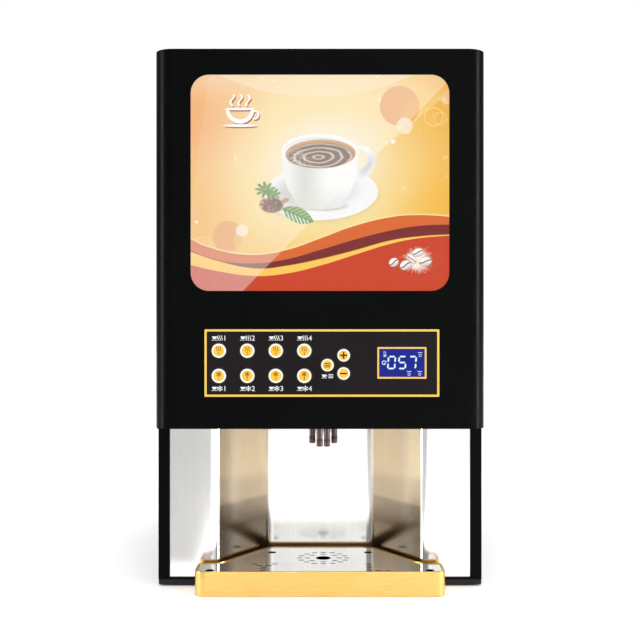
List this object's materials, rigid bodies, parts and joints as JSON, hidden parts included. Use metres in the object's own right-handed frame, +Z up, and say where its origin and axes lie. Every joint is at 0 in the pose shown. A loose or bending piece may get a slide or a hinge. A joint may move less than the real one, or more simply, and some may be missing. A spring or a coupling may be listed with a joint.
{
  "type": "hot coffee vending machine",
  "caption": "Table-top vending machine for hot and cold drinks: hinged door with a lit picture and push buttons, cup bay, drip tray, powder canisters with augers, water tanks and cooling.",
  "frame": {"origin": "centre of the footprint of the whole object (cabinet, door and drip tray), on the surface that the feet stand on", "axes": "+X to the right as seen by the user, +Y to the rear, +Z up"},
  "size_m": [0.4, 0.481, 0.658],
  "materials": {
    "black_paint": "satin",
    "gray_paint": "satin",
    "rubber": "matte",
    "screw_steel": "polished",
    "stainless": "polished",
    "brown_plastic": "gloss",
    "white_plastic": "matte",
    "clear_plastic": "gloss",
    "black_plastic": "matte",
    "black_steel": "gloss",
    "aluminium": "satin",
    "brass": "satin",
    "circuit_board": "satin",
    "acrylic": "gloss",
    "print": "gloss",
    "panel_film": "satin",
    "gold_metal": "satin",
    "display": "gloss",
    "button_gold": "gloss"
  },
  "bodies": {
    "cabinet": {"cabinet_shell": "black_paint", "base_plate": "gray_paint", "rubber_feet": "rubber", "rear_panel": "gray_paint", "panel_screws": "screw_steel", "niche_liner": "stainless", "nozzle_plate": "stainless", "nozzle_holder": "brown_plastic", "product_tubes": "brown_plastic", "mixing_bowls": "white_plastic", "bulkhead": "gray_paint", "canister_shelf": "stainless", "canister_1": "clear_plastic", "canister_2": "clear_plastic", "canister_3": "clear_plastic", "canister_4": "clear_plastic", "auger_motors": "black_plastic", "hot_water_tank": "stainless", "cold_water_tank": "stainless", "solenoid_valves": "brass", "compressor": "black_steel", "condenser": "aluminium", "main_board": "circuit_board", "power_inlet": "black_plastic", "water_inlet": "brass", "hinge_brackets": "black_paint"},
    "door": {"door_shell": "black_paint", "door_liner": "gray_paint", "graphic_window": "acrylic", "graphic_print": "print", "light_box": "white_plastic", "control_panel": "panel_film", "gold_trim": "gold_metal", "lcd_module": "display", "control_board": "circuit_board"},
    "tray": {"tray_band": "gold_metal", "tray_pan": "black_plastic"},
    "grid": {"drip_grid": "stainless"},
    "fan": {"fan_rotor": "black_plastic"},
    "rocker": {"rocker_switch": "black_plastic"},
    "lock": {"lock_barrel": "screw_steel"},
    "lid_1": {"canister_lid_1": "black_plastic"},
    "auger_body_1": {"auger_1": "white_plastic"},
    "lid_2": {"canister_lid_2": "black_plastic"},
    "auger_body_2": {"auger_2": "white_plastic"},
    "lid_3": {"canister_lid_3": "black_plastic"},
    "auger_body_3": {"auger_3": "white_plastic"},
    "lid_4": {"canister_lid_4": "black_plastic"},
    "auger_body_4": {"auger_4": "white_plastic"},
    "button_hot_1_body": {"button_hot_1": "button_gold"},
    "button_cold_1_body": {"button_cold_1": "button_gold"},
    "button_hot_2_body": {"button_hot_2": "button_gold"},
    "button_cold_2_body": {"button_cold_2": "button_gold"},
    "button_hot_3_body": {"button_hot_3": "button_gold"},
    "button_cold_3_body": {"button_cold_3": "button_gold"},
    "button_hot_4_body": {"button_hot_4": "button_gold"},
    "button_cold_4_body": {"button_cold_4": "button_gold"},
    "button_menu_body": {"button_menu": "button_gold"},
    "button_plus_body": {"button_plus": "button_gold"},
    "button_minus_body": {"button_minus": "button_gold"}
  },
  "joints": [
    {"name": "door_hinge", "type": "hinge", "parent": "cabinet", "child": "door", "pos_m": [-0.195, -0.1975, 0.198], "axis": [0, 0, -1], "range_deg": [0, 110]},
    {"name": "tray_slide", "type": "slide", "parent": "cabinet", "child": "tray", "axis": [0, -1, 0], "range_m": [0, 0.14]},
    {"name": "grid_lift", "type": "slide", "parent": "tray", "child": "grid", "axis": [0, 0, 1], "range_m": [0, 0.05]},
    {"name": "lock_turn", "type": "hinge", "parent": "cabinet", "child": "lock", "pos_m": [0.2, -0.1595, 0.43], "axis": [-1, 0, 0], "range_deg": [0, 90]},
    {"name": "rocker_turn", "type": "hinge", "parent": "cabinet", "child": "rocker", "pos_m": [-0.15, 0.2265, 0.118], "axis": [1, 0, 0], "range_deg": [0, 8]},
    {"name": "fan_spin", "type": "hinge", "parent": "cabinet", "child": "fan", "pos_m": [0.092, 0.212, 0.112], "axis": [0, 1, 0], "continuous": true},
    {"name": "lid_1_lift", "type": "slide", "parent": "cabinet", "child": "lid_1", "axis": [0, 0, 1], "range_m": [0, 0.04]},
    {"name": "auger_1_spin", "type": "hinge", "parent": "cabinet", "child": "auger_body_1", "pos_m": [-0.141, -0.1415, 0.428], "axis": [0, 1, 0], "continuous": true},
    {"name": "lid_2_lift", "type": "slide", "parent": "cabinet", "child": "lid_2", "axis": [0, 0, 1], "range_m": [0, 0.04]},
    {"name": "auger_2_spin", "type": "hinge", "parent": "cabinet", "child": "auger_body_2", "pos_m": [-0.047, -0.1415, 0.428], "axis": [0, 1, 0], "continuous": true},
    {"name": "lid_3_lift", "type": "slide", "parent": "cabinet", "child": "lid_3", "axis": [0, 0, 1], "range_m": [0, 0.04]},
    {"name": "auger_3_spin", "type": "hinge", "parent": "cabinet", "child": "auger_body_3", "pos_m": [0.047, -0.1415, 0.428], "axis": [0, 1, 0], "continuous": true},
    {"name": "lid_4_lift", "type": "slide", "parent": "cabinet", "child": "lid_4", "axis": [0, 0, 1], "range_m": [0, 0.04]},
    {"name": "auger_4_spin", "type": "hinge", "parent": "cabinet", "child": "auger_body_4", "pos_m": [0.141, -0.1415, 0.428], "axis": [0, 1, 0], "continuous": true},
    {"name": "button_hot_1_press", "type": "slide", "parent": "door", "child": "button_hot_1_body", "axis": [0, 1, 0], "range_m": [0, 0.0008], "stiffness_N_per_m": 300},
    {"name": "button_cold_1_press", "type": "slide", "parent": "door", "child": "button_cold_1_body", "axis": [0, 1, 0], "range_m": [0, 0.0008], "stiffness_N_per_m": 300},
    {"name": "button_hot_2_press", "type": "slide", "parent": "door", "child": "button_hot_2_body", "axis": [0, 1, 0], "range_m": [0, 0.0008], "stiffness_N_per_m": 300},
    {"name": "button_cold_2_press", "type": "slide", "parent": "door", "child": "button_cold_2_body", "axis": [0, 1, 0], "range_m": [0, 0.0008], "stiffness_N_per_m": 300},
    {"name": "button_hot_3_press", "type": "slide", "parent": "door", "child": "button_hot_3_body", "axis": [0, 1, 0], "range_m": [0, 0.0008], "stiffness_N_per_m": 300},
    {"name": "button_cold_3_press", "type": "slide", "parent": "door", "child": "button_cold_3_body", "axis": [0, 1, 0], "range_m": [0, 0.0008], "stiffness_N_per_m": 300},
    {"name": "button_hot_4_press", "type": "slide", "parent": "door", "child": "button_hot_4_body", "axis": [0, 1, 0], "range_m": [0, 0.0008], "stiffness_N_per_m": 300},
    {"name": "button_cold_4_press", "type": "slide", "parent": "door", "child": "button_cold_4_body", "axis": [0, 1, 0], "range_m": [0, 0.0008], "stiffness_N_per_m": 300},
    {"name": "button_menu_press", "type": "slide", "parent": "door", "child": "button_menu_body", "axis": [0, 1, 0], "range_m": [0, 0.0008], "stiffness_N_per_m": 300},
    {"name": "button_plus_press", "type": "slide", "parent": "door", "child": "button_plus_body", "axis": [0, 1, 0], "range_m": [0, 0.0008], "stiffness_N_per_m": 300},
    {"name": "button_minus_press", "type": "slide", "parent": "door", "child": "button_minus_body", "axis": [0, 1, 0], "range_m": [0, 0.0008], "stiffness_N_per_m": 300}
  ]
}
